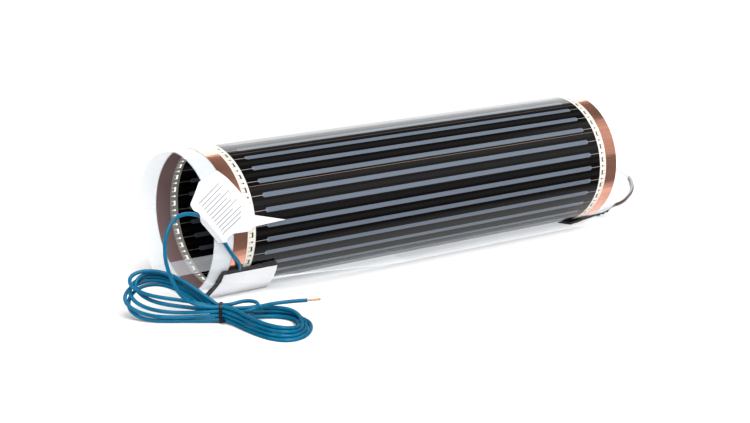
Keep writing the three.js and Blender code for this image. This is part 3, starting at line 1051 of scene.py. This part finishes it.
class HEATFILM_OT_film(bpy.types.Operator):
    """The film: one sheet, its free end on the floor, the rest wound into the roll"""

    bl_idname = "heatfilm.film"
    bl_label = "Heating film"

    def execute(self, context):
        settings = context.scene.heatfilm_film
        width = settings.width * 1000
        flap = settings.flap * 1000
        curled = 24
        straight = 14
        across = sorted({
            *[CURL_END_X * n / curled for n in range(curled + 1)],
            CLEAR_END, COPPER_END, SILVER_END,
            *[CURL_END_X + (width - CURL_END_X) * n / straight for n in range(straight + 1)]})
        on_floor = 14
        wound = 272
        steps = [-flap * (1 - n / on_floor) for n in range(on_floor)]
        steps += [WOUND_DEGREES * n / wound for n in range(wound + 1)]
        deselect_all()
        bpy.ops.mesh.primitive_grid_add(
            x_subdivisions=len(across) - 1, y_subdivisions=len(steps) - 1, size=2)
        sheet = bpy.context.object
        sheet.name = "heating_film"
        sheet.data.name = "heating_film"
        uv = sheet.data.uv_layers.active or sheet.data.uv_layers.new()
        uv.name = "film"
        columns = len(across)
        rows = len(steps)
        # Each vertex's place on the flat sheet, for the printing
        flat = {}
        for vertex in sheet.data.vertices:
            i = round((vertex.co.x + 1) / 2 * (columns - 1))
            j = round((vertex.co.y + 1) / 2 * (rows - 1))
            x = across[i]
            along = steps[j]
            vertex.co = at(*sheet_place(x, along, flap))
            flat[vertex.index] = (x * MM, (along if along < 0 else arc_length(along)) * MM)
        for loop in sheet.data.loops:
            uv.data[loop.index].uv = flat[loop.vertex_index]
        group = film_print()
        # Painted shade: the copper as seen on the inside of the roll
        painted_shade_copper = (0.33, 0.215, 0.21)
        sheet.data.materials.append(film_material("film_outside", group, settings))
        sheet.data.materials.append(
            film_material("film_inside", group, settings, tint=painted_shade_copper, painted_glow=1.3))
        only(sheet)
        wall = walled(sheet, settings.thickness, -1.0)
        wall.material_offset = 1
        wall.material_offset_rim = 0
        axis = at(0, 0, ROLL_RADIUS)
        middle = sheet.data.polygons[len(sheet.data.polygons) // 2]
        outwards = middle.normal.dot(middle.center - axis) > 0
        if not outwards:
            sheet.data.flip_normals()
        apply_all(sheet)
        smooth(sheet, 50)
        finish_piece(sheet, "film", "film_roll")
        return {"FINISHED"}


# Pads and papers

LEFT_PAD_X = 11.0
LEFT_PAD_WIDTH = 58.0
LEFT_PAD_TOP = -31.0
LEFT_PAD_BEND = -50.0
LEFT_PAD_FLOOR_GAP = 0.4
LINER_DROP = 2.6
LINER_INSET = 2.5
LINER_THICKNESS = 0.3
LEFT_PAD_SPREAD = 9.0
RIGHT_PAD_SIZE = (51.0, 16.0)
RIGHT_PAD_CORNER = (454, -28)
RIGHT_PAD_TURN = math.radians(15)
RIGHT_PAD_LIFT = 0.64
SLEEVE_START = 2
SLEEVE_STEPS = 32


def lean(offset, down):
    """The y and z of a point so far down the left pad, and its outward y and z."""
    radius = ROLL_RADIUS + offset
    arc = math.radians(LEFT_PAD_TOP - LEFT_PAD_BEND) * ROLL_RADIUS
    if down < arc:
        degrees = LEFT_PAD_TOP - math.degrees(down / ROLL_RADIUS)
        return on_roll(radius, degrees)
    y, z = on_roll(radius, LEFT_PAD_BEND)
    slope = math.radians(LEFT_PAD_BEND)
    rest = down - arc
    return y - rest * math.sin(slope), z - rest * math.cos(slope)


def foot_length(thick):
    """From the left pad's top down to the floor, for a pad so thick with its liner on."""
    arc = math.radians(LEFT_PAD_TOP - LEFT_PAD_BEND) * ROLL_RADIUS
    outside = ROLL_RADIUS + 2 * GAP + thick + LINER_THICKNESS
    return arc + on_roll(outside, LEFT_PAD_BEND)[1] / math.cos(math.radians(LEFT_PAD_BEND))


def paper_material(name, colour, gloss):
    values = {
        "Colour": colour, "Patches": 40.0, "Patch detail": 3.0, "Tone from": 0.95,
        "Tone to": 1.03, "Grains": 1500.0, "Grain detail": 4.0, "Grain contrast": 0.7,
        "Roughness from": gloss, "Roughness to": gloss + 0.15}
    return grained(name, values, bump=(0.1, 0.0001))


def slab(name, material, width, length, thickness, cuts, ragged, bevel):
    """A flat plate at the origin with rough edges: x across, y down, z outwards."""
    size = (width, length, thickness)
    obj = box(name, material, Vector(size) / 2, size)
    bpy.ops.object.mode_set(mode="EDIT")
    bpy.ops.mesh.select_all(action="SELECT")
    bpy.ops.mesh.subdivide(number_cuts=cuts)
    bpy.ops.object.mode_set(mode="OBJECT")
    edge = 0.01
    for vertex in obj.data.vertices:
        x, y, _ = vertex.co
        side_wave = math.sin(0.31 * y + 1.3) + 0.6 * math.sin(0.83 * y)
        side_wave += 0.5 * math.sin(0.9 * x)
        end_wave = math.sin(0.27 * x + 0.4) + 0.6 * math.sin(0.71 * x + 2) + 0.4 * math.sin(y)
        vertex.co.x += ragged * side_wave * ((x < edge) - (x > width - edge))
        vertex.co.y += ragged * end_wave * ((y < edge) - (y > length - edge))
    bevelled(obj, bevel, 60)
    return obj


class HEATFILM_OT_pads(bpy.types.Operator):
    """The two sealing pads and the backing sheet of the left one"""

    bl_idname = "heatfilm.pads"
    bl_label = "Sealing pads"

    def execute(self, context):
        settings = context.scene.heatfilm_joints
        mastic = grained("mastic", {
            "Colour": settings.mastic, "Patches": 45.0, "Tone from": 0.7, "Tone to": 1.5,
            "Grains": 220.0, "Grain detail": 4.0, "Grain contrast": 0.6,
            "Roughness from": 0.55, "Roughness to": 0.75}, bump=(0.5, 0.0008))
        thick = settings.pad_thickness * 1000
        length = foot_length(thick) - LEFT_PAD_FLOOR_GAP
        pad = slab("left_pad", mastic, LEFT_PAD_WIDTH, length, thick, 26, 0.5, 0.7)
        for vertex in pad.data.vertices:
            x, down, out = vertex.co
            out += 0.15 * math.sin(0.6 * x) * math.sin(0.5 * down) * (1 if out > 1.2 else 0)
            y, z = lean(GAP + out, down)
            x += LEFT_PAD_SPREAD * x / LEFT_PAD_WIDTH * down / length
            vertex.co = at(LEFT_PAD_X + x, y, z)
        smooth(pad, 60)
        finish_piece(pad, "mastic", "left_mastic_pad")

        paper = paper_material("liner_paper", settings.paper, 0.35)
        deep = length - LINER_DROP
        wide = LEFT_PAD_WIDTH - LINER_INSET
        liner = slab("left_liner", paper, wide, deep, LINER_THICKNESS, 26, 0, 0.05)
        for vertex in liner.data.vertices:
            x, down, out = vertex.co
            # Two creases, and an edge that lifts
            crease = math.exp(-((down - 0.35 * x - 8) / 1.2) ** 2) * 0.7
            crease += 0.4 * math.exp(-((down + 0.5 * x - 44) / 1.6) ** 2)
            lift = 0.25 * math.exp(-((x - 58) / 6) ** 2)
            base = GAP + thick + GAP + 0.18 + crease + lift
            y, z = lean(base + out, down + LINER_DROP)
            x += LEFT_PAD_SPREAD * x / LEFT_PAD_WIDTH * down / length
            vertex.co = at(LEFT_PAD_X + LINER_INSET + x, y, z)
        smooth(liner, 60)
        finish_piece(liner, "liner", "left_pad_liner")

        right = slab("right_pad", mastic, *RIGHT_PAD_SIZE, thick, 22, 0.3, 0.7)
        film_width = context.scene.heatfilm_film.width * 1000
        c = math.cos(RIGHT_PAD_TURN)
        s = math.sin(RIGHT_PAD_TURN)
        for vertex in right.data.vertices:
            x, y, z = vertex.co
            flat_x = RIGHT_PAD_CORNER[0] + x * c - y * s
            flat_y = RIGHT_PAD_CORNER[1] + x * s + y * c
            z += RIGHT_PAD_LIFT
            # Under the roll the pad is pressed down to the room there is
            if flat_x < film_width:
                under = ROLL_RADIUS + GAP
                room = ROLL_RADIUS - math.sqrt(under ** 2 - min(under, abs(flat_y)) ** 2)
                z = min(z, max(RIGHT_PAD_LIFT, room))
            vertex.co = at(flat_x, flat_y, z)
        join(right, self.sleeve(mastic))
        smooth(right, 60)
        finish_piece(right, "mastic", "right_mastic_pad")
        return {"FINISHED"}

    def sleeve(self, mastic):
        """Mastic pressed round the start of the right lead, lumpy and tapering."""
        line = through(BROWN_ROUTE, 1.0)
        line = line[SLEEVE_START:SLEEVE_START + SLEEVE_STEPS]
        mesh = bmesh.new()
        rows = []
        for n, place in enumerate(line):
            ahead = Vector(line[min(n + 1, len(line) - 1)]) - Vector(line[max(n - 1, 0)])
            ahead.normalize()
            side = ahead.cross(Vector((0, 0, 1))).normalized()
            up = side.cross(ahead)
            part = n / (len(line) - 1)
            swell = 1.5 + 0.8 * math.sin(0.6 * n) + 0.5 * math.sin(1.7 * n + 1)
            radius = LEAD_DIAMETER / 2 + 0.1 + swell * (1 - part) ** 0.4
            row = []
            sides = 12
            for k in range(sides):
                turn = math.tau * k / sides
                lump = radius * (1 + 0.12 * math.sin(3 * turn + 0.7 * n))
                offset = side * math.cos(turn) * lump + up * math.sin(turn) * lump
                point = Vector(place) + offset
                point.z = max(point.z, 0.1)
                row.append(point)
            rows.append(row)
        loft(mesh, rows)
        return object_from(mesh, "right_sleeve", mastic)


# The tag's corners: millimetres from the film's edge, degrees up from the front
TAG_CORNERS = [
    (19.1, 51.7), (24.4, 44.3), (27.9, 37.9), (31.7, 31.1), (37.8, 23.3), (40, 17),
    (41.3, 11.8), (73.3, 4.3), (40.7, 3.1), (33.8, 0.1), (18, 0.5), (8.8, -3.8),
    (2.6, -4.2), (-3.6, 2.4), (-9.8, 9.2), (-16.6, 16.4), (-19.5, 27.6), (-3.5, 44.2),
]


# The slope of its edges, its thickness, the spacing of its bars, and the most that the
# lead under it counts from the roll's axis
TAG_SLOPE = math.radians(30.6)
TAG_THICKNESS = 0.00025
BAR_PITCH = 3.4
LEAD_TOP_RADIUS = 70.5


def over_lead(x, down):
    """How high the tag rises where the lead runs under it."""
    clear = 0.5
    flat = 0.8
    fade = 2.6
    best = 0
    for ax, ay, az in through(BLUE_ROUTE[3:10], 1.0):
        lead_radius = math.hypot(ay, az - ROLL_RADIUS)
        lead_down = math.atan2(az - ROLL_RADIUS, -ay) * ROLL_RADIUS
        apart = math.hypot(x - ax, down - lead_down)
        top = min(lead_radius, LEAD_TOP_RADIUS) + LEAD_DIAMETER / 2 + clear - ROLL_RADIUS - GAP
        best = max(best, top * math.exp(-(max(0, apart - flat) / fade) ** 2))
    return best


def tag_material(colour, ink):
    """White paper with a few plain ruled bars and nothing to read."""
    material = paper_material("tag_paper", colour, 0.3)
    tree = Tree(material.node_tree)
    shader = material.node_tree.nodes["Principled BSDF"]
    split = tree.node(
        "ShaderNodeSeparateXYZ", {"Vector": tree.node("ShaderNodeUVMap", uv_map="tag").outputs[0]})
    along = tree.both(split.outputs[0], 1000.0)
    across = tree.both(split.outputs[1], 1000.0)
    row = tree.math("DIVIDE", across, BAR_PITCH)
    line = tree.math("FLOOR", row)
    within = tree.minus(row, line)
    bar = tree.band(within, 0.3, 0.58, 0.06)
    # Each bar stops somewhere else
    stop = tree.math("SINE", tree.both(line, 2.4))
    stop = tree.math("ADD", tree.both(stop, 5.0), 34.0)
    bar = tree.both(bar, tree.math("LESS_THAN", along, stop))
    bar = tree.both(bar, tree.math("GREATER_THAN", along, 6.0))
    bar = tree.both(bar, tree.band(across, -BAR_PITCH, 10 * BAR_PITCH, 0.2))
    base = shader.inputs["Base Color"].links[0].from_socket
    tree.put(shader.inputs["Base Color"], tree.mix(bar, base, ink))
    return material


class HEATFILM_OT_tag(bpy.types.Operator):
    """The bare paper tag that lies on the left front of the roll, over the lead"""

    bl_idname = "heatfilm.tag"
    bl_label = "Paper tag"

    def execute(self, context):
        settings = context.scene.heatfilm_joints
        paper = tag_material(settings.paper, (0.25, 0.25, 0.27))
        mesh = bmesh.new()
        layer = mesh.loops.layers.uv.new("tag")
        arc = math.radians(1) * ROLL_RADIUS
        outline = [mesh.verts.new((x, d * arc, 0)) for x, d in TAG_CORNERS]
        face = mesh.faces.new(outline)
        bmesh.ops.triangulate(mesh, faces=[face])
        step = 0.9
        for normal, low, high in (((0, 1, 0), -6, 60), ((1, 0, 0), -24, 26)):
            place = low
            while place < high:
                bmesh.ops.bisect_plane(
                    mesh, geom=[*mesh.verts, *mesh.edges, *mesh.faces],
                    plane_co=Vector(normal) * place, plane_no=normal, dist=1e-5)
                place += step
        bmesh.ops.remove_doubles(mesh, verts=mesh.verts, dist=1e-4)
        c = math.cos(TAG_SLOPE) * MM
        s = math.sin(TAG_SLOPE) * MM
        for face in mesh.faces:
            for loop in face.loops:
                x, down, _ = loop.vert.co
                loop[layer].uv = (x * c + down * s, down * c - x * s)
        for vertex in mesh.verts:
            x, down, _ = vertex.co
            degrees = down / arc
            # Its top edge stands off a little
            lift = 0.35 * math.exp(-((x - 30) / 14) ** 2) * max(0, (degrees - 30) / 20)
            lift = max(lift, over_lead(x, down))
            y, z = on_roll(ROLL_RADIUS + GAP + lift, degrees)
            vertex.co = at(x, y, z)
        bmesh.ops.recalc_face_normals(mesh, faces=mesh.faces)
        mesh.faces.ensure_lookup_table()
        if mesh.faces[0].normal.y > 0:
            bmesh.ops.reverse_faces(mesh, faces=mesh.faces)
        tag = object_from(mesh, "tag", paper)
        walled(tag, TAG_THICKNESS, 1.0)
        apply_all(tag)
        smooth(tag, 40)
        finish_piece(tag, "tag", "label_tag")
        return {"FINISHED"}


class HEATFILM_PT_panel(bpy.types.Panel):
    bl_label = "Heating film"
    bl_idname = "HEATFILM_PT_panel"
    bl_space_type = "VIEW_3D"
    bl_region_type = "UI"
    bl_category = "Heating film"

    def draw(self, context):
        layout = self.layout
        scene = context.scene
        for group in (
            scene.heatfilm_film, scene.heatfilm_leads, scene.heatfilm_joints,
            scene.heatfilm_stage,
        ):
            box = layout.box()
            for name in type(group).__annotations__:
                box.prop(group, name)
        for step in OPERATORS:
            layout.operator(step.bl_idname)


GROUPS = {
    "heatfilm_film": FilmSettings,
    "heatfilm_leads": LeadSettings,
    "heatfilm_joints": ConnectionSettings,
    "heatfilm_stage": StageSettings,
}
OPERATORS = [
    HEATFILM_OT_camera,
    HEATFILM_OT_blue_lead,
    HEATFILM_OT_brown_lead,
    HEATFILM_OT_ties,
    HEATFILM_OT_film,
    HEATFILM_OT_pads,
    HEATFILM_OT_tag,
    HEATFILM_OT_declare,
]


def register():
    for group in GROUPS.values():
        bpy.utils.register_class(group)
    for name, group in GROUPS.items():
        setattr(bpy.types.Scene, name, bpy.props.PointerProperty(type=group))
    for step in OPERATORS:
        bpy.utils.register_class(step)
    bpy.utils.register_class(HEATFILM_PT_panel)


def unregister():
    bpy.utils.unregister_class(HEATFILM_PT_panel)
    for step in reversed(OPERATORS):
        bpy.utils.unregister_class(step)
    for name in GROUPS:
        delattr(bpy.types.Scene, name)
    for group in reversed(list(GROUPS.values())):
        bpy.utils.unregister_class(group)


def main():
    register()
    bpy.ops.heatfilm.camera()
    bpy.ops.heatfilm.blue_lead()
    bpy.ops.heatfilm.brown_lead()
    bpy.ops.heatfilm.ties()
    bpy.ops.heatfilm.film()
    bpy.ops.heatfilm.pads()
    bpy.ops.heatfilm.tag()
    bpy.ops.heatfilm.declare()


if __name__ == "__main__":
    main()
